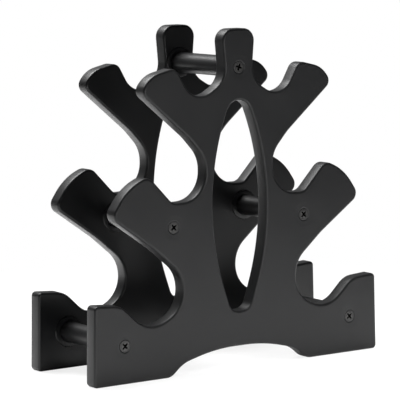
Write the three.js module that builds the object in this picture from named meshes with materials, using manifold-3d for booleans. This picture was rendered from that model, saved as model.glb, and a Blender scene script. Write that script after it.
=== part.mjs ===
// Three-tier dumbbell rack: two moulded tree-shaped plates held apart by five cross tubes.
// Each tube end sits in a socket in a plate and holds a threaded plug, and a countersunk
// screw through the plate pulls the plate onto the tube.
//
// Millimetres, +Z up. The origin is the middle of the footprint, at the soles of the feet.
// +X runs across the width. The front plate faces -Y and the back plate faces +Y.
import * as THREE from 'three';
import { mergeVertices } from 'three/addons/utils/BufferGeometryUtils.js';
import Module from 'manifold-3d';

const wasm = await Module();
wasm.setup();

// Overall size
const WIDTH = 320;
const HEIGHT = 312.3;
const DEPTH = 110.5; // over the outer faces of both plates
const PLATE_T = 14.5;
const ROUND_OVER = 2.2; // radius of the edges of both faces

// Screw and tube places, as heights and distances from the middle of the plate
const TOP_Z = 277.3;
const MID_X = 73.2;
const MID_Z = 136.6;
const FOOT_X = 127;
const FOOT_Z = 34.6;

// Cross tubes
const TUBE_R = 9.5;
const TUBE_WALL = 1.5;
const SOCKET_DEPTH = 4; // how far a tube end goes into the plate
const COLLAR_R = 14; // raised ring round each socket
const COLLAR_H = 1.4;
const FIT_GAP = 0.3; // clearance between pieces that slide together

// Threaded plugs inside the tube ends
const PLUG_LENGTH = 18;
const PLUG_GROOVE = 0.6;

// M6 countersunk screws with a cross recess
const SCREW_R = 3;
const SCREW_HEAD_R = 5.5;
const SCREW_LENGTH = 25;
const SCREW_RIM = 0.2; // straight edge of the head above its cone
const SCREW_INSET = 0.2; // the head sits just below the plate's face
const HOLE_R = 3.4;
const SINK_R = SCREW_HEAD_R + SCREW_RIM + SCREW_INSET + 0.1; // mouth of the 90 degree sink
const RECESS_ACROSS = 6.6;
const RECESS_SLOT = 1.5;
const RECESS_DEPTH = 3;

// Fineness of the round surfaces: how far a chord may stray from its arc, and sides to a circle
const CHORD_ERROR = 0.14;
const TUBE_SEGMENTS = 32;
const HARDWARE_SEGMENTS = 24;

// Half of the plate's outline: x, z and corner radius, from the top of the crown clockwise to
// the middle of the arch between the feet.
const HALF_OUTLINE = [
  [0, HEIGHT, 0],
  [18.8, HEIGHT, 11.3], // crown
  [14.7, 266, 21], // upper cradle
  [49, 245.2, 20.5],
  [68.8, 280, 9], // upper arm
  [96.2, 273.6, 26],
  [106.6, 258.8, 8],
  [55, 215.4, 62],
  [38, 196.6, 28], // middle cradle
  [37.7, 159.1, 25.3],
  [73.6, 158.1, 11],
  [99.4, 184.9, 10.5], // middle arm
  [121.7, 175.8, 53],
  [139.6, 149.9, 9],
  [94, 118.1, 52.5],
  [65.5, 94, 28], // lower cradle
  [61.8, 62.3, 27.9],
  [101, 43.8, 28.9],
  [130.4, 71.4, 22.4], // foot
  [WIDTH / 2 - 1.8, 73.4, 4],
  [WIDTH / 2, 0, 4],
  [76.9, 0, 13],
  [63.6, 11.4, 34], // arch
  [26.5, 20.6, 170],
  [0, 20.6, 0],
];

// Half of the almond window in the middle of the plate, in the same form
const HALF_WINDOW = [
  [0, 247, 0],
  [9.5, 247, 13.6],
  [45.3, 158, 234],
  [10, 53.4, 11],
  [0, 53.4, 0],
];

// A polyline through the corners, each one rounded by an arc of its own radius.
function roundCorners(corners) {
  const points = [];
  corners.forEach(([x, z, radius], i) => {
    const corner = new THREE.Vector2(x, z);
    if (radius === 0) {
      points.push(corner);
      return;
    }
    const back = new THREE.Vector2(...corners[i - 1]).sub(corner).normalize();
    const ahead = new THREE.Vector2(...corners[i + 1]).sub(corner).normalize();
    const half = Math.acos(back.dot(ahead)) / 2;
    const middle = back.clone().add(ahead).normalize();
    const centre = corner.clone().addScaledVector(middle, radius / Math.sin(half));
    const reach = radius / Math.tan(half);
    const start = corner.clone().addScaledVector(back, reach).sub(centre);
    const end = corner.clone().addScaledVector(ahead, reach).sub(centre);
    const turn = Math.atan2(start.cross(end), start.dot(end));
    const step = 2 * Math.acos(1 - CHORD_ERROR / radius);
    const steps = Math.max(3, Math.ceil(Math.abs(turn) / step));
    for (let k = 0; k <= steps; k++) {
      points.push(start.clone().rotateAround(new THREE.Vector2(), (turn * k) / steps).add(centre));
    }
  });
  return points;
}

// Both halves of a symmetric outline as one closed loop.
function mirrored(half) {
  const right = roundCorners(half);
  const left = right.slice(1, -1).reverse().map((p) => new THREE.Vector2(-p.x, p.y));
  return [...right, ...left];
}

function toManifold(geometry) {
  const plain = geometry.index ? geometry.toNonIndexed() : geometry.clone();
  plain.deleteAttribute('normal');
  plain.deleteAttribute('uv');
  const merged = mergeVertices(plain, 1e-4);
  const corners = merged.index.array;
  const triangles = [];
  for (let i = 0; i < corners.length; i += 3) {
    const [a, b, c] = corners.slice(i, i + 3);
    if (a !== b && b !== c && c !== a) triangles.push(a, b, c);
  }
  return new wasm.Manifold(new wasm.Mesh({
    numProp: 3,
    vertProperties: new Float32Array(merged.attributes.position.array),
    triVerts: new Uint32Array(triangles),
  }));
}

function toGeometry(solid) {
  const mesh = solid.getMesh();
  const geometry = new THREE.BufferGeometry();
  geometry.setAttribute('position', new THREE.BufferAttribute(mesh.vertProperties, 3));
  geometry.setIndex(new THREE.BufferAttribute(mesh.triVerts, 1));
  return geometry;
}

// A solid of revolution about the plate's local Z axis, from [radius, z] pairs.
function turned(profile, segments = TUBE_SEGMENTS) {
  const geometry = new THREE.LatheGeometry(
    profile.map(([r, z]) => new THREE.Vector2(r, z)), segments);
  geometry.rotateX(Math.PI / 2);
  return geometry;
}

// Every tube: its name, and the x and z of its axis.
const TUBES = [
  ['top', 0, TOP_Z],
  ['mid_left', -MID_X, MID_Z],
  ['mid_right', MID_X, MID_Z],
  ['foot_left', -FOOT_X, FOOT_Z],
  ['foot_right', FOOT_X, FOOT_Z],
];

// The angle at which each screw's cross came to rest, in degrees: front, back
const CROSS_TURN = {
  top: [20, 65],
  mid_left: [38, 12],
  mid_right: [62, 81],
  foot_left: [44, 30],
  foot_right: [70, 8],
};

// A plate lies in its own XY plane, inner face at z = 0 and outer face at z = PLATE_T.
function plateSolid() {
  const shape = new THREE.Shape(mirrored(HALF_OUTLINE).reverse());
  shape.holes.push(new THREE.Path(mirrored(HALF_WINDOW)));
  const slab = new THREE.ExtrudeGeometry(shape, {
    depth: PLATE_T - 2 * ROUND_OVER,
    bevelThickness: ROUND_OVER,
    bevelSize: ROUND_OVER,
    bevelOffset: -ROUND_OVER,
    bevelSegments: 2,
  });
  slab.translate(0, 0, ROUND_OVER);
  let plate = toManifold(slab);

  for (const [, x, z] of TUBES) {
    const collar = turned([
      [0, -COLLAR_H], [COLLAR_R - 0.6, -COLLAR_H], [COLLAR_R, 0.6 - COLLAR_H],
      [COLLAR_R, 1], [0, 1],
    ]);
    const coneDepth = SINK_R - HOLE_R;
    const bore = turned([
      [0, -COLLAR_H - 1],
      [TUBE_R + FIT_GAP, -COLLAR_H - 1], [TUBE_R + FIT_GAP, SOCKET_DEPTH],
      [HOLE_R, SOCKET_DEPTH], [HOLE_R, PLATE_T - coneDepth],
      [SINK_R, PLATE_T], [SINK_R, PLATE_T + 1], [0, PLATE_T + 1],
    ]);
    collar.translate(x, z, 0);
    bore.translate(x, z, 0);
    plate = plate.add(toManifold(collar)).subtract(toManifold(bore));
  }
  return toGeometry(plate);
}

// A tube lies along its own Z axis, centred on the origin.
function tubeGeometry() {
  const half = DEPTH / 2 - PLATE_T + SOCKET_DEPTH - FIT_GAP;
  const inner = TUBE_R - TUBE_WALL;
  return turned([
    [inner, -half], [TUBE_R - 0.3, -half], [TUBE_R, 0.3 - half],
    [TUBE_R, half - 0.3], [TUBE_R - 0.3, half], [inner, half], [inner, -half],
  ]);
}

// Plugs and screws point into the tube along -Z, with z measured as on the plate.
function plugGeometry() {
  const outer = TUBE_R - TUBE_WALL - FIT_GAP;
  const top = SOCKET_DEPTH - 2 * FIT_GAP;
  const bottom = top - PLUG_LENGTH;
  const bore = SCREW_R + FIT_GAP;
  const groove = outer - PLUG_GROOVE;
  return turned([
    [bore, bottom], [outer - 1, bottom], [outer, bottom + 1],
    [outer, bottom + 6], [groove, bottom + 7], [groove, top - 6], [outer, top - 5],
    [outer, top], [bore, top], [bore, bottom],
  ], HARDWARE_SEGMENTS);
}

function screwGeometry(turn) {
  const face = PLATE_T - SCREW_INSET;
  const neck = face - SCREW_RIM - (SCREW_HEAD_R - SCREW_R);
  const tip = face - SCREW_LENGTH;
  let screw = toManifold(turned([
    [0, tip], [SCREW_R - 0.8, tip], [SCREW_R, tip + 0.8],
    [SCREW_R, neck], [SCREW_HEAD_R, face - SCREW_RIM], [SCREW_HEAD_R, face], [0, face],
  ], HARDWARE_SEGMENTS));
  for (const quarter of [0, 90]) {
    const corner = RECESS_ACROSS / Math.SQRT2;
    const slot = new THREE.CylinderGeometry(corner, 0.45 * corner, RECESS_DEPTH, 4);
    slot.rotateY(Math.PI / 4);
    slot.scale(1, 1, RECESS_SLOT / RECESS_ACROSS);
    slot.rotateX(Math.PI / 2);
    slot.translate(0, 0, face - RECESS_DEPTH / 2 + 0.05);
    slot.rotateZ(THREE.MathUtils.degToRad(turn + quarter));
    screw = screw.subtract(toManifold(slot));
  }
  return toGeometry(screw);
}

const plastic = () => new THREE.MeshStandardMaterial({
  color: 0x17171a, roughness: 0.55, metalness: 0 });
const paintedSteel = () => new THREE.MeshStandardMaterial({
  color: 0x1b1b1e, roughness: 0.4, metalness: 0.3 });
const nylon = () => new THREE.MeshStandardMaterial({
  color: 0x8c8a84, roughness: 0.6, metalness: 0 });
const blackOxide = () => new THREE.MeshStandardMaterial({
  color: 0x2a2a2c, roughness: 0.45, metalness: 0.8 });

const group = new THREE.Group();

// The local XY plane stands up in XZ. The front side faces -Y, and the back side is the
// same thing turned half round about the vertical axis.
function place(name, geometry, material, side) {
  geometry.rotateX(Math.PI / 2);
  if (side !== 'middle') geometry.translate(0, PLATE_T - DEPTH / 2, 0);
  if (side === 'back') geometry.rotateZ(Math.PI);
  const mesh = new THREE.Mesh(geometry, material);
  mesh.name = name;
  group.add(mesh);
}

for (const side of ['front', 'back']) {
  place(`${side}_plate`, plateSolid(), plastic(), side);
}

for (const [name, x, z] of TUBES) {
  const tube = tubeGeometry();
  tube.translate(x, z, 0);
  place(`cross_tube_${name}`, tube, paintedSteel(), 'middle');

  ['front', 'back'].forEach((side, i) => {
    // The back side is turned half round, so its x is mirrored.
    const across = side === 'back' ? -x : x;
    const plug = plugGeometry();
    const screw = screwGeometry(CROSS_TURN[name][i]);
    plug.translate(across, z, 0);
    screw.translate(across, z, 0);
    place(`plug_${name}_${side}`, plug, nylon(), side);
    place(`screw_${name}_${side}`, screw, blackOxide(), side);
  });
}

export default group;
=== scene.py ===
"""Looks of the dumbbell rack: moulded plates, coated tubes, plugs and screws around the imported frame.

Lengths in the tables and builders are millimetres, and a mesh is written in metres. The frame is the
row frame: +X across the plates, front plate towards -Y, +Z up, soles at z = 0. A depth is counted
inwards from the outer face of the plate that a piece belongs to. The studio is in metres.
"""

import math

import bmesh
import bpy
from mathutils import Matrix, Vector


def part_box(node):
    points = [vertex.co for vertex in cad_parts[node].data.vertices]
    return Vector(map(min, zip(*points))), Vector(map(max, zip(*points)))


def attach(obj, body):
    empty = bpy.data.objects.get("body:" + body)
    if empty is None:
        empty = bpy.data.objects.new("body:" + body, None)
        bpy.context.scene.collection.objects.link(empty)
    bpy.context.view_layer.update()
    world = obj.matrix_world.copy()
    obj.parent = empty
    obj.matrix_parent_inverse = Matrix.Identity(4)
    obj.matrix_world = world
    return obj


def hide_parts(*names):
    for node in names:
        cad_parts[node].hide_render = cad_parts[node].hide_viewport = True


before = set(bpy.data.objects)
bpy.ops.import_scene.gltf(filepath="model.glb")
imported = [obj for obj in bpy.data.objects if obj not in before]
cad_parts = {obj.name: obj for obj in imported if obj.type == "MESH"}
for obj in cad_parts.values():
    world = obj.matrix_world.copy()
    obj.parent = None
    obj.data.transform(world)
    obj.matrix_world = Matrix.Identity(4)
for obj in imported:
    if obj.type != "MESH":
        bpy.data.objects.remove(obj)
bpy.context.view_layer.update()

MM = 0.001

# ---------------------------------------------------------------- sizes, from the frame and its design
plate_low, plate_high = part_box("front_plate")
FRONT_Y = plate_low.y / MM  # outer face of the front plate
HEIGHT = plate_high.z / MM
WIDTH = 320.0
PLATE_T = 14.5
EDGE_R = 2.2  # rounding of both faces' edges
EDGE_STEPS = 5
FLAT_HOLD = 0.35  # narrow flat band inside each rounding, which keeps its shading off the face

TUBE_R = 9.5
TUBE_BORE_R = 8.0
TUBE_SOFT = 0.3  # rounding of the tube's ends
TUBE_BAYS = 8  # stretches between the rings along a tube
SOCKET_R = 9.8
SOCKET_DEPTH = 4.0
COLLAR_R = 14.0
COLLAR_H = 1.4
COLLAR_FOOT = [(0.9, -0.9), (0.3, 0.12), (0, 0.4)]  # its fillet: outwards from it, up from the plate
MOULD_SOFT = 0.25  # rounding of the collar's and the countersink's edges

SCREW_R = 3.0
SCREW_HEAD_R = 5.5
SCREW_LENGTH = 25.0
SCREW_INSET = 0.2
SCREW_RIM = 0.2
SCREW_PLAIN = 4  # unthreaded shank under the head
HOLE_R = 3.4
SINK_R = 6.0
THREAD_PITCH = 1.0
THREAD_DEPTH = 0.55
THREAD_RUNOUT = 1.6  # the last of the shank, where no new turn starts

PLUG_LENGTH = 18.0
PLUG_R = 7.7
PLUG_BORE_R = 3.3
PLUG_SETBACK = 0.6  # between the tube's end and the plug's
PLUG_RIBS = 4
RIB_FROM = 3  # the first groove, from the plug's end
RIB_PITCH = 3.2
RIB_DEPTH = 0.6

DISH_R = 12.6  # shallow sink mark that the thick socket leaves in the outer face
DISH_DEPTH = 0.14
DISH_RINGS = 7
DISH_STEP = 0.85

# The driver recess: half length and half width of its slots, and their scale at each depth
CROSS_WING = 3.4
CROSS_SLOT = 0.88
CROSS_FILLET = 0.5
CROSS_TAPER = [(-0.6, 1.06), (0, 1.0), (1.6, 0.72), (2.6, 0.5), (3.0, 0.2)]

# Sides to a circle, chord error of the outline's arcs, and angles above which an edge stays sharp
MOULD_SIDES = 72
TUBE_SIDES = 96
HARDWARE_SIDES = 64
CHORD_ERROR = 0.02
SHARP = 32
SCREW_SHARP = 40

# Half of the plate's outline: x, z and corner radius, from the crown clockwise to the arch. The
# corners were laid out one by one. Their values are a rounded fit to the edges in the photo, and some
# were corrected.
HALF_OUTLINE = [
    (0, HEIGHT, 0),
    (18.8, HEIGHT, 11.3),  # crown
    (14.7, 266, 21),  # upper cradle
    (49, 245.2, 20.5),
    (68.8, 280, 9),  # upper arm
    (96.2, 273.6, 26),
    (106.6, 258.8, 8),
    (55, 215.4, 62),
    (38, 196.6, 28),  # middle cradle
    (37.7, 159.1, 25.3),
    (73.6, 158.1, 11),
    (99.4, 184.9, 10.5),  # middle arm
    (121.7, 175.8, 53),
    (139.6, 149.9, 9),
    (94, 118.1, 52.5),
    (65.5, 94, 28),  # lower cradle
    (61.8, 62.3, 27.9),
    (101, 43.8, 28.9),
    (130.4, 71.4, 22.4),  # foot
    (WIDTH / 2 - 1.8, 73.4, 4),
    (WIDTH / 2, 0, 4),
    (76.9, 0, 13),
    (63.6, 11.4, 34),  # arch
    (26.5, 20.6, 170),
    (0, 20.6, 0),
]
# Half of the almond window, in the same form: a rounded fit to widths that were read off
HALF_WINDOW = [
    (0, 247, 0),
    (9.5, 247, 13.6),
    (45.3, 158, 234),
    (10, 53.4, 11),
    (0, 53.4, 0),
]


def centre_of(piece):
    low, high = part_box(piece)
    return (low.x + high.x) / 2 / MM, (low.z + high.z) / 2 / MM


SIDES = ["front", "back"]
PLACES = ["top", "mid_left", "mid_right", "foot_left", "foot_right"]
TUBE_AT = {place: centre_of("cross_tube_" + place) for place in PLACES}

# The angle at which each screw's cross came to rest, in degrees: front, back
CROSS_TURN = {
    "top": (-18, 65),
    "mid_left": (38, 12),
    "mid_right": (44, 81),
    "foot_left": (44, 30),
    "foot_right": (40, 8),
}


def depth_from(side):
    """The function from a depth below a plate's outer face to a place along Y."""
    if side == "front":
        return lambda depth: FRONT_Y + depth
    return lambda depth: -FRONT_Y - depth


# ---------------------------------------------------------------- outlines and mesh helpers
def rounded(corners):
    """Points of the rounded outline, each as (x, z, outward x, outward z), clockwise."""
    found = []
    for i, (x, z, radius) in enumerate(corners):
        corner = Vector((x, z))
        if radius == 0:
            found.append((x, z, 0.0, 1.0 if i == 0 else -1.0))
            continue
        back = (Vector(corners[i - 1][:2]) - corner).normalized()
        ahead = (Vector(corners[i + 1][:2]) - corner).normalized()
        half = math.acos(max(-1, min(1, back.dot(ahead)))) / 2
        middle = (back + ahead).normalized()
        centre = corner + middle * (radius / math.sin(half))
        reach = radius / math.tan(half)
        start = corner + back * reach - centre
        end = corner + ahead * reach - centre
        turn = math.atan2(start.x * end.y - start.y * end.x, start.dot(end))
        outward = 1 if turn < 0 else -1  # a clockwise arc bulges outwards
        steps = max(4, math.ceil(abs(turn) / (2 * math.acos(1 - CHORD_ERROR / radius))))
        for k in range(steps + 1):
            arm = start.copy()
            arm.rotate(Matrix.Rotation(turn * k / steps, 2))
            point, normal = centre + arm, arm.normalized() * outward
            found.append((point.x, point.y, normal.x, normal.y))
    return found


def mirrored(half):
    right = rounded(half)
    left = [(-x, z, -nx, nz) for x, z, nx, nz in reversed(right[1:-1])]
    return right + left


def ring(bm, points, inset, y):
    """A loop of vertices parallel to an outline, moved in by inset, at y."""
    return [bm.verts.new(((x - nx * inset) * MM, y * MM, (z - nz * inset) * MM))
            for x, z, nx, nz in points]


def circle(bm, centre, radius, y, sides):
    cx, cz = centre
    turns = [2 * math.pi * k / sides for k in range(sides)]
    return [bm.verts.new(((cx + radius * math.cos(a)) * MM, y * MM,
                          (cz + radius * math.sin(a)) * MM)) for a in turns]


def bridge(bm, rings):
    """Walls between each ring and the next one."""
    for first, second in zip(rings, rings[1:]):
        count = len(first)
        for k in range(count):
            after = (k + 1) % count
            bm.faces.new((first[k], first[after], second[after], second[k]))


def fill(bm, loops):
    """A flat face between an outer loop and the loops inside it."""
    edges = []
    for loop in loops:
        for k, vert in enumerate(loop):
            after = loop[(k + 1) % len(loop)]
            edges.append(bm.edges.get((vert, after)) or bm.edges.new((vert, after)))
    bmesh.ops.triangle_fill(bm, use_beauty=True, edges=edges)


def make(name, bm, sharp=SHARP):
    bmesh.ops.recalc_face_normals(bm, faces=bm.faces)
    mesh = bpy.data.meshes.new(name)
    bm.to_mesh(mesh)
    bm.free()
    shade(mesh, sharp)
    obj = bpy.data.objects.new(name, mesh)
    bpy.context.scene.collection.objects.link(obj)
    return obj


def shade(mesh, sharp=SHARP):
    mesh.polygons.foreach_set("use_smooth", [True] * len(mesh.polygons))
    mesh.set_sharp_from_angle(angle=math.radians(sharp))


def turned(profile, sides, axis_at, y_of=lambda depth: depth):
    """A closed solid of revolution about Y, from a closed list of (radius, depth)."""
    bm = bmesh.new()
    rings = []
    for radius, depth in profile:
        if radius == 0:
            rings.append(bm.verts.new((axis_at[0] * MM, y_of(depth) * MM, axis_at[1] * MM)))
        else:
            rings.append(circle(bm, axis_at, radius, y_of(depth), sides))
    for first, second in zip(rings, rings[1:]):
        if isinstance(first, list) and isinstance(second, list):
            bridge(bm, [first, second])
        else:
            tip, loop = (first, second) if isinstance(second, list) else (second, first)
            for k in range(len(loop)):
                bm.faces.new((loop[k], loop[(k + 1) % len(loop)], tip))
    if profile[0][0] > 0:
        bridge(bm, [rings[-1], rings[0]])
    return bm


def cut(obj, tool, operation):
    """Applies a boolean of obj with tool, and removes tool."""
    step = obj.modifiers.new("cut", "BOOLEAN")
    step.operation, step.solver, step.object = operation, "EXACT", tool
    graph = bpy.context.evaluated_depsgraph_get()
    result = bpy.data.meshes.new_from_object(obj.evaluated_get(graph))
    obj.modifiers.clear()
    old, obj.data = obj.data, result
    bpy.data.meshes.remove(old)
    bpy.data.objects.remove(tool)


def edge_amount(obj):
    """Stores how much each point lies on a rounded edge, from 0 on a face to 1 halfway round it."""
    mesh = obj.data
    values = mesh.attributes.new("edge", "FLOAT", "POINT")
    for vert in mesh.vertices:
        across = abs(vert.normal.y)
        values.data[vert.index].value = 4 * across * across * (1 - across * across)


def inner_amount(obj):
    """Stores 1 at the inner face of a plate and 0 at its outer face."""
    mesh = obj.data
    values = mesh.attributes.new("inner", "FLOAT", "POINT")
    for vert in mesh.vertices:
        depth = abs(abs(vert.co.y / MM) - abs(FRONT_Y))
        values.data[vert.index].value = min(1, depth / PLATE_T)


# ---------------------------------------------------------------- materials
def node(tree, kind, **settings):
    made = tree.nodes.new(kind)
    for key, value in settings.items():
        setattr(made, key, value)
    return made


def new_material(name, metallic=0.0):
    mat = bpy.data.materials.new(name)
    mat.use_nodes = True
    tree = mat.node_tree
    shader = tree.nodes["Principled BSDF"]
    shader.inputs["Metallic"].default_value = metallic
    coords = node(tree, "ShaderNodeTexCoord")
    return mat, tree, shader, coords.outputs["Object"]


def noise(tree, coords, scale, detail, roughness=0.55):
    made = node(tree, "ShaderNodeTexNoise")
    made.inputs["Scale"].default_value = scale
    made.inputs["Detail"].default_value = detail
    made.inputs["Roughness"].default_value = roughness
    tree.links.new(coords, made.inputs["Vector"])
    return made.outputs["Fac"]


def remap(tree, value, low, high, from_low=0.3, from_high=0.7):
    """Spreads a value over low to high. Noise seldom leaves 0.3 to 0.7."""
    made = node(tree, "ShaderNodeMapRange")
    made.inputs["From Min"].default_value = from_low
    made.inputs["From Max"].default_value = from_high
    made.inputs["To Min"].default_value = low
    made.inputs["To Max"].default_value = high
    tree.links.new(value, made.inputs["Value"])
    return made.outputs["Result"]


def math_node(tree, operation, first, second):
    made = node(tree, "ShaderNodeMath", operation=operation)
    for socket, value in zip(made.inputs, (first, second)):
        if isinstance(value, (int, float)):
            socket.default_value = value
        else:
            tree.links.new(value, socket)
    return made.outputs[0]


def blend_colours(tree, factor, first, second):
    """Mixes two colours. Each is an (r, g, b) or another node's output."""
    made = node(tree, "ShaderNodeMix", data_type="RGBA")
    tree.links.new(factor, made.inputs[0])
    for socket, colour in ((made.inputs[6], first), (made.inputs[7], second)):
        if isinstance(colour, tuple):
            socket.default_value = (*colour, 1)
        else:
            tree.links.new(colour, socket)
    return made.outputs[2]


def bumps(tree, shader, heights):
    """Chains bump nodes: heights is a list of (height socket, distance in metres, strength)."""
    normal = None
    for height, distance, strength in heights:
        made = node(tree, "ShaderNodeBump")
        made.inputs["Distance"].default_value = distance
        made.inputs["Strength"].default_value = strength
        tree.links.new(height, made.inputs["Height"])
        if normal is not None:
            tree.links.new(normal, made.inputs["Normal"])
        normal = made.outputs["Normal"]
    tree.links.new(normal, shader.inputs["Normal"])


def moulded_plastic():
    """Satin black plastic: fine spark-eroded grain, faint flow mottling and polished, scuffed edges."""
    mat, tree, shader, coords = new_material("satin_black_plastic")
    grain = noise(tree, coords, 2600, 2)
    mottle = noise(tree, coords, 22, 3)
    scuff = noise(tree, coords, 160, 6, 0.7)
    edge = node(tree, "ShaderNodeAttribute", attribute_name="edge").outputs["Fac"]
    worn = math_node(tree, "MULTIPLY", edge, remap(tree, scuff, 0.0, 1.0, 0.45, 0.7))
    tone = math_node(tree, "ADD", remap(tree, mottle, 0.0, 0.45),
                     math_node(tree, "MULTIPLY", worn, 0.55))
    colour = blend_colours(tree, tone, (0.0042, 0.0043, 0.0046), (0.0072, 0.0073, 0.0076))
    tree.links.new(colour, shader.inputs["Base Color"])
    rough = math_node(tree, "SUBTRACT", remap(tree, mottle, 0.41, 0.47),
                      math_node(tree, "MULTIPLY", worn, 0.07))
    inner = node(tree, "ShaderNodeAttribute", attribute_name="inner").outputs["Fac"]
    glossier = remap(tree, inner, 0, 0.12, 0.8, 1.0)
    tree.links.new(math_node(tree, "SUBTRACT", rough, glossier), shader.inputs["Roughness"])
    shader.inputs["IOR"].default_value = 1.36
    bumps(tree, shader, [(grain, 0.00002, 0.3), (mottle, 0.0004, 0.04)])
    return mat


def powder_coat():
    """Satin black coating on steel tube, with fine orange peel."""
    mat, tree, shader, coords = new_material("black_powder_coat")
    peel = noise(tree, coords, 900, 3)
    mottle = noise(tree, coords, 45, 3)
    colour = blend_colours(tree, remap(tree, mottle, 0, 1),
                           (0.0055, 0.0056, 0.0059), (0.0085, 0.0086, 0.009))
    tree.links.new(colour, shader.inputs["Base Color"])
    tree.links.new(remap(tree, mottle, 0.36, 0.43), shader.inputs["Roughness"])
    shader.inputs["IOR"].default_value = 1.36
    bumps(tree, shader, [(peel, 0.00003, 0.3)])
    return mat


# Painted shade: the screw's colour fades to near black with depth in the driver recess, where shade
# falls
RECESS_SHADE_FROM = 0.4  # depth below the plate's face where the recess starts to darken
RECESS_SHADE_FULL = 1.4


def black_oxide():
    """Oxide-black screw steel, rubbed a little brighter on its head, with painted shade darkening it
    down in the recess.
    """
    mat, tree, shader, coords = new_material("black_oxide_steel", metallic=0.85)
    grain = noise(tree, coords, 1800, 4)
    rub = noise(tree, coords, 500, 5, 0.7)
    edge = node(tree, "ShaderNodeAttribute", attribute_name="edge").outputs["Fac"]
    tone = math_node(tree, "ADD", remap(tree, rub, 0, 0.5), math_node(tree, "MULTIPLY", edge, 0.5))
    clean = blend_colours(tree, tone, (0.021, 0.021, 0.022), (0.072, 0.071, 0.069))
    split = node(tree, "ShaderNodeSeparateXYZ")
    tree.links.new(coords, split.inputs[0])
    outward = math_node(tree, "ABSOLUTE", split.outputs["Y"], 0)
    # Painted shade: the colour turns near black down in the recess, deeper than the plate's face
    recess_shade = remap(tree, outward, 1, 0, -(FRONT_Y + RECESS_SHADE_FULL) * MM, -(FRONT_Y + RECESS_SHADE_FROM) * MM)
    colour = blend_colours(tree, recess_shade, clean, (0.0015, 0.0015, 0.0014))
    tree.links.new(colour, shader.inputs["Base Color"])
    tree.links.new(remap(tree, rub, 0.38, 0.52), shader.inputs["Roughness"])
    bumps(tree, shader, [(grain, 0.00002, 0.3)])
    return mat


def natural_nylon():
    """Unpainted nylon of the plugs inside the tubes."""
    mat, tree, shader, coords = new_material("natural_nylon")
    cloud = noise(tree, coords, 220, 3)
    grain = noise(tree, coords, 2200, 2)
    colour = blend_colours(tree, remap(tree, cloud, 0, 1), (0.36, 0.35, 0.32), (0.47, 0.46, 0.43))
    tree.links.new(colour, shader.inputs["Base Color"])
    tree.links.new(remap(tree, cloud, 0.48, 0.6), shader.inputs["Roughness"])
    bumps(tree, shader, [(grain, 0.00002, 0.25)])
    return mat


PLASTIC = moulded_plastic()
COAT = powder_coat()
OXIDE = black_oxide()
NYLON = natural_nylon()


def finish_piece(obj, material, cad_node):
    obj.data.materials.clear()
    obj.data.materials.append(material)
    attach(obj, "root")
    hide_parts(cad_node)


# ---------------------------------------------------------------- plates
def dish(bm, at, y_of):
    """The shallow mark in the outer face over a socket. Returns its outer ring."""
    rings = []
    for k in range(DISH_RINGS):
        radius = DISH_R - k * DISH_STEP
        dip = DISH_DEPTH * (0.5 - 0.5 * math.cos(math.pi * min(1, max(0, k - 0.5) / 5)))
        rings.append(circle(bm, at, radius, y_of(dip), MOULD_SIDES))
    bridge(bm, rings)
    bm.faces.new(rings[-1])
    return rings[0]


def blank(side, y_of):
    """The plate before its collars and holes: the walls of both outlines, and two faces."""
    bm = bmesh.new()
    arc = [math.radians(90 - 90 * k / EDGE_STEPS) for k in range(EDGE_STEPS + 1)]
    outer_edge = [(EDGE_R + FLAT_HOLD, 0)] + [
        (EDGE_R * (1 - math.cos(a)), EDGE_R * (1 - math.sin(a))) for a in arc]
    inner_edge = [(inset, PLATE_T - depth) for inset, depth in reversed(outer_edge)]
    outer_loops = []
    inner_loops = []
    for half, into in ((HALF_OUTLINE, 1), (HALF_WINDOW, -1)):
        points = mirrored(half)
        rings = [ring(bm, points, inset * into, y_of(depth))
                 for inset, depth in outer_edge + inner_edge]
        bridge(bm, rings)
        outer_loops.append(rings[0])
        inner_loops.append(rings[-1])
    outer_loops += [dish(bm, TUBE_AT[place], y_of) for place in PLACES]
    fill(bm, outer_loops)
    fill(bm, inner_loops)
    return make(side + "_plate_moulded", bm)


def collar_profile():
    """The raised ring round a socket. It starts inside the plate."""
    top = PLATE_T + COLLAR_H
    return [(0, PLATE_T + COLLAR_FOOT[0][1])] + [
        (COLLAR_R + out, PLATE_T + up) for out, up in COLLAR_FOOT] + [
        (COLLAR_R, top - 2 * MOULD_SOFT),
        (COLLAR_R - 0.6 * MOULD_SOFT, top - 0.6 * MOULD_SOFT),
        (COLLAR_R - 2 * MOULD_SOFT, top),
        (0, top),
    ]


def bore_profile():
    """What is cut away for the screw's sink and hole and for the tube's socket."""
    past = 1  # how far the cut reaches past both faces
    top = PLATE_T + COLLAR_H
    return [
        (0, -past),
        (SINK_R + 1.2, -past),
        (SINK_R + 1.2, -0.05),
        (SINK_R + 0.3, DISH_DEPTH - 0.02),
        (SINK_R - DISH_DEPTH, DISH_DEPTH + MOULD_SOFT),
        (HOLE_R, SINK_R - HOLE_R + MOULD_SOFT),
        (HOLE_R, PLATE_T - SOCKET_DEPTH),
        (SOCKET_R, PLATE_T - SOCKET_DEPTH),
        (SOCKET_R, top - MOULD_SOFT),
        (SOCKET_R + 1.5 * MOULD_SOFT, top + 0.1),
        (SOCKET_R + 1.5 * MOULD_SOFT, top + past),
        (0, top + past),
    ]


def plate(side):
    """One moulded plate. Depth is counted from the outer face to the inner face."""
    y_of = depth_from(side)
    obj = blank(side, y_of)
    for place in PLACES:
        at = TUBE_AT[place]
        cut(obj, make("collar", turned(collar_profile(), MOULD_SIDES, at, y_of)), "UNION")
        cut(obj, make("bore", turned(bore_profile(), MOULD_SIDES, at, y_of)), "DIFFERENCE")
    shade(obj.data)
    edge_amount(obj)
    inner_amount(obj)
    finish_piece(obj, PLASTIC, side + "_plate")


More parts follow.
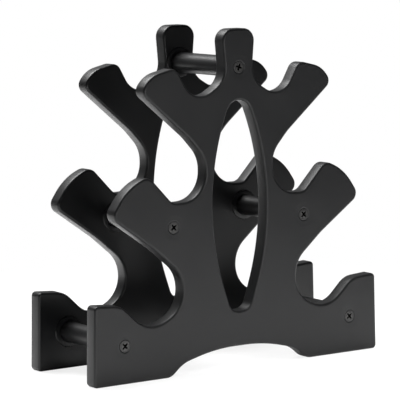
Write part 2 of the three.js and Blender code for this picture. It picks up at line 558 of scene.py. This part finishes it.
# ---------------------------------------------------------------- tubes, plugs and screws
def tube(place):
    low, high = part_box("cross_tube_" + place)
    near, far = low.y / MM, high.y / MM
    near_end = [(TUBE_BORE_R, near), (TUBE_R - TUBE_SOFT, near),
                (TUBE_R - 0.3 * TUBE_SOFT, near + 0.3 * TUBE_SOFT), (TUBE_R, near + TUBE_SOFT)]
    middle = [(TUBE_R, near + (far - near) * k / TUBE_BAYS) for k in range(1, TUBE_BAYS)]
    far_end = [(radius, far + near - y) for radius, y in reversed(near_end)]
    obj = make("tube_" + place, turned(near_end + middle + far_end, TUBE_SIDES, TUBE_AT[place]))
    finish_piece(obj, COAT, "cross_tube_" + place)


def plug(place, side):
    """A threaded plug with ribs that grip the tube's bore."""
    top = PLATE_T - SOCKET_DEPTH + PLUG_SETBACK
    end = top + PLUG_LENGTH
    profile = [(PLUG_BORE_R + 0.5, top), (PLUG_R - 0.2, top), (PLUG_R, top + 0.2)]
    for k in range(PLUG_RIBS):
        start = top + RIB_FROM + RIB_PITCH * k
        profile += [(PLUG_R, start), (PLUG_R - RIB_DEPTH, start + 0.5),
                    (PLUG_R - RIB_DEPTH, start + 1.6), (PLUG_R, start + 2.1)]
    profile += [(PLUG_R, end - 1), (PLUG_R - 1, end), (PLUG_BORE_R, end), (PLUG_BORE_R, top + 0.5)]
    body = turned(profile, HARDWARE_SIDES, TUBE_AT[place], depth_from(side))
    obj = make(f"plug_ribbed_{place}_{side}", body)
    finish_piece(obj, NYLON, f"plug_{place}_{side}")


def cross_cutter(at, turn, y_of):
    """The tapered cross of a driver recess, as a solid to cut with."""
    bm = bmesh.new()
    inside = CROSS_SLOT + CROSS_FILLET
    bend = CROSS_SLOT + 0.3 * CROSS_FILLET
    quarter = [(CROSS_WING, -CROSS_SLOT), (CROSS_WING + 0.12, 0), (CROSS_WING, CROSS_SLOT),
               (inside, CROSS_SLOT), (bend, bend), (CROSS_SLOT, inside)]
    rings = []
    for depth, scale in CROSS_TAPER:
        y = y_of(SCREW_INSET + depth) * MM
        loop = []
        for k in range(4):
            angle = math.radians(turn + 90 * k)
            c, s = math.cos(angle), math.sin(angle)
            for x, z in quarter:
                x, z = x * scale, z * (scale * 0.6 + 0.4)  # a slot narrows less than it shortens
                loop.append(bm.verts.new(((at[0] + c * x - s * z) * MM, y,
                                          (at[1] + s * x + c * z) * MM)))
        rings.append(loop)
    bridge(bm, rings)
    bm.faces.new(rings[0])
    bm.faces.new(rings[-1])
    return make("cutter", bm)


def screw_profile():
    """Countersunk head, plain shank and thread."""
    face = SCREW_INSET
    neck = face + SCREW_RIM + SCREW_HEAD_R - SCREW_R
    tip = face + SCREW_LENGTH
    profile = [(0, face), (SCREW_HEAD_R - 0.4, face), (SCREW_HEAD_R - 0.12, face + 0.03),
               (SCREW_HEAD_R, face + 0.12), (SCREW_HEAD_R, face + SCREW_RIM),
               (SCREW_R + 0.3, neck - 0.3), (SCREW_R, neck + 0.4)]
    depth = neck + SCREW_PLAIN
    profile.append((SCREW_R, depth))
    root = SCREW_R - THREAD_DEPTH
    while depth < tip - THREAD_RUNOUT:
        profile += [(root, depth + 0.4 * THREAD_PITCH), (root, depth + 0.6 * THREAD_PITCH),
                    (SCREW_R, depth + 0.95 * THREAD_PITCH), (SCREW_R, depth + THREAD_PITCH)]
        depth += THREAD_PITCH
    return profile + [(SCREW_R - 0.7, tip), (0, tip)]


def screw(place, side):
    y_of = depth_from(side)
    at = TUBE_AT[place]
    front_turn, back_turn = CROSS_TURN[place]
    turn = front_turn if side == "front" else -back_turn
    body = turned(screw_profile(), HARDWARE_SIDES, at, y_of)
    obj = make(f"screw_{place}_{side}_finished", body, SCREW_SHARP)
    cut(obj, cross_cutter(at, turn, y_of), "DIFFERENCE")
    shade(obj.data, SCREW_SHARP)
    edge_amount(obj)
    finish_piece(obj, OXIDE, f"screw_{place}_{side}")


for side in SIDES:
    plate(side)
for place in PLACES:
    tube(place)
    for side in SIDES:
        plug(place, side)
        screw(place, side)

# ---------------------------------------------------------------- floor, light and camera, in metres
FLOOR_SIZE = 14
POOL_EDGE = (0.3, 0.6)  # the lit floor fades into plain white for the camera between these
POOL_WHITE = 0.8  # how much plain white the camera sees in the lit floor itself

# Strengths of the room's light, and the directions, along Y or Z, over which each fades in
BACKDROP = 0.35
BACKDROP_RISE = (0.08, 0.42)
CEILING = 0.4
CEILING_RISE = (0.55, 0.85)
BEHIND_RACK = (0.05, 0.6)
ROOM = 0.004


def mix_shaders(tree, factor, first, second, target):
    made = node(tree, "ShaderNodeMixShader")
    tree.links.new(factor, made.inputs[0])
    tree.links.new(first, made.inputs[1])
    tree.links.new(second, made.inputs[2])
    tree.links.new(made.outputs[0], target)


def studio_floor():
    """A pale floor that is brightest round the rack, and plain white further off to the camera."""
    bm = bmesh.new()
    bmesh.ops.create_grid(bm, x_segments=1, y_segments=1, size=FLOOR_SIZE)
    floor = make("studio_floor", bm)
    mat = bpy.data.materials.new("studio_white")
    mat.use_nodes = True
    tree = mat.node_tree
    shader = tree.nodes["Principled BSDF"]
    shader.inputs["Base Color"].default_value = (0.93, 0.93, 0.93, 1)
    shader.inputs["Roughness"].default_value = 0.9
    shader.inputs["Specular IOR Level"].default_value = 0.1
    coords = node(tree, "ShaderNodeTexCoord")
    reach = node(tree, "ShaderNodeVectorMath", operation="LENGTH")
    tree.links.new(coords.outputs["Object"], reach.inputs[0])
    far = remap(tree, reach.outputs["Value"], POOL_WHITE, 1, *POOL_EDGE)
    seen = node(tree, "ShaderNodeLightPath").outputs["Is Camera Ray"]
    white = node(tree, "ShaderNodeEmission")
    mix_shaders(tree, math_node(tree, "MULTIPLY", seen, far), shader.outputs[0],
                white.outputs[0], tree.nodes["Material Output"].inputs[0])
    floor.data.materials.append(mat)


def studio_world():
    """A dark room, plain white to the camera, with a dim backdrop and ceiling behind the rack."""
    world = bpy.data.worlds.new("studio_world")
    bpy.context.scene.world = world
    world.use_nodes = True
    tree = world.node_tree
    split = node(tree, "ShaderNodeSeparateXYZ")
    tree.links.new(node(tree, "ShaderNodeTexCoord").outputs["Generated"], split.inputs[0])
    behind = remap(tree, split.outputs["Y"], 0, 1, *BEHIND_RACK)
    above = math_node(tree, "ADD", remap(tree, split.outputs["Z"], 0, BACKDROP, *BACKDROP_RISE),
                      remap(tree, split.outputs["Z"], 0, CEILING, *CEILING_RISE))
    strength = math_node(tree, "ADD", math_node(tree, "MULTIPLY", behind, above), ROOM)
    seen = node(tree, "ShaderNodeLightPath").outputs["Is Camera Ray"]
    tree.links.new(math_node(tree, "MAXIMUM", seen, strength),
                   tree.nodes["Background"].inputs["Strength"])
    tree.nodes["Background"].inputs["Color"].default_value = (1, 1, 1, 1)


def area(name, at, look, size, watts, glossy=False):
    """A softbox that the camera never sees. With glossy, it also shows as a highlight."""
    data = bpy.data.lights.new(name, "AREA")
    data.shape, data.size, data.size_y = "RECTANGLE", *size
    data.energy = watts
    obj = bpy.data.objects.new(name, data)
    obj.location = at
    obj.rotation_euler = (Vector(look) - Vector(at)).to_track_quat("-Z", "Y").to_euler()
    obj.visible_camera = False
    obj.visible_glossy = glossy
    bpy.context.scene.collection.objects.link(obj)


# The camera's heading, tilt, roll, focal length, distance and offset are a rounded fit to the edges
# in the photo. AIM is the point on the front plate's plane that the camera is placed by.
YAW, PITCH, ROLL = (math.radians(a) for a in (34.73, 7.06, -0.58))
SENSOR = 36  # millimetres
FOCAL = 5.8085  # focal length over the picture's width
DISTANCE = 2.1209
AIM = Vector((0, FRONT_Y * MM, 0.170))
AIM_RIGHT = 0.03655  # how far the point lies right of the middle of the view, and above it
AIM_ABOVE = 0.01409


def camera():
    data = bpy.data.cameras.new("camera")
    data.sensor_width = SENSOR
    data.lens = SENSOR * FOCAL
    data.clip_end = 50
    ahead = Vector((math.sin(YAW) * math.cos(PITCH), math.cos(YAW) * math.cos(PITCH),
                    -math.sin(PITCH)))
    level = Vector((math.cos(YAW), -math.sin(YAW), 0))
    rise = level.cross(ahead)
    right = math.cos(ROLL) * level + math.sin(ROLL) * rise
    up = math.cos(ROLL) * rise - math.sin(ROLL) * level
    obj = bpy.data.objects.new("camera", data)
    turn = Matrix((right, up, -ahead)).transposed().to_4x4()
    place = AIM - DISTANCE * ahead - AIM_RIGHT * right - AIM_ABOVE * up
    obj.matrix_world = Matrix.Translation(place) @ turn
    bpy.context.scene.collection.objects.link(obj)
    bpy.context.scene.camera = obj


studio_floor()
studio_world()
area("overhead_left", (-0.25, 0.5, 1.1), (0, 0.1, 0.2), (0.6, 0.6), 20.4, glossy=True)
area("overhead_wide", (0, 0.5, 1.1), (0, 0.4, 0), (0.8, 0.8), 15.6)
area("frontal", (0, -1.5, 0.1), (0, 0, 0.1), (0.35, 0.35), 7.2, glossy=True)
area("floor_near", (0.1, -0.17, 0.16), (0.1, -0.17, 0), (0.5, 0.08), 0.6)
area("floor_front", (0.1, -0.2, 0.35), (0.1, -0.2, 0), (0.5, 0.15), 1.2)
camera()
bpy.context.scene.view_settings.view_transform = "Standard"
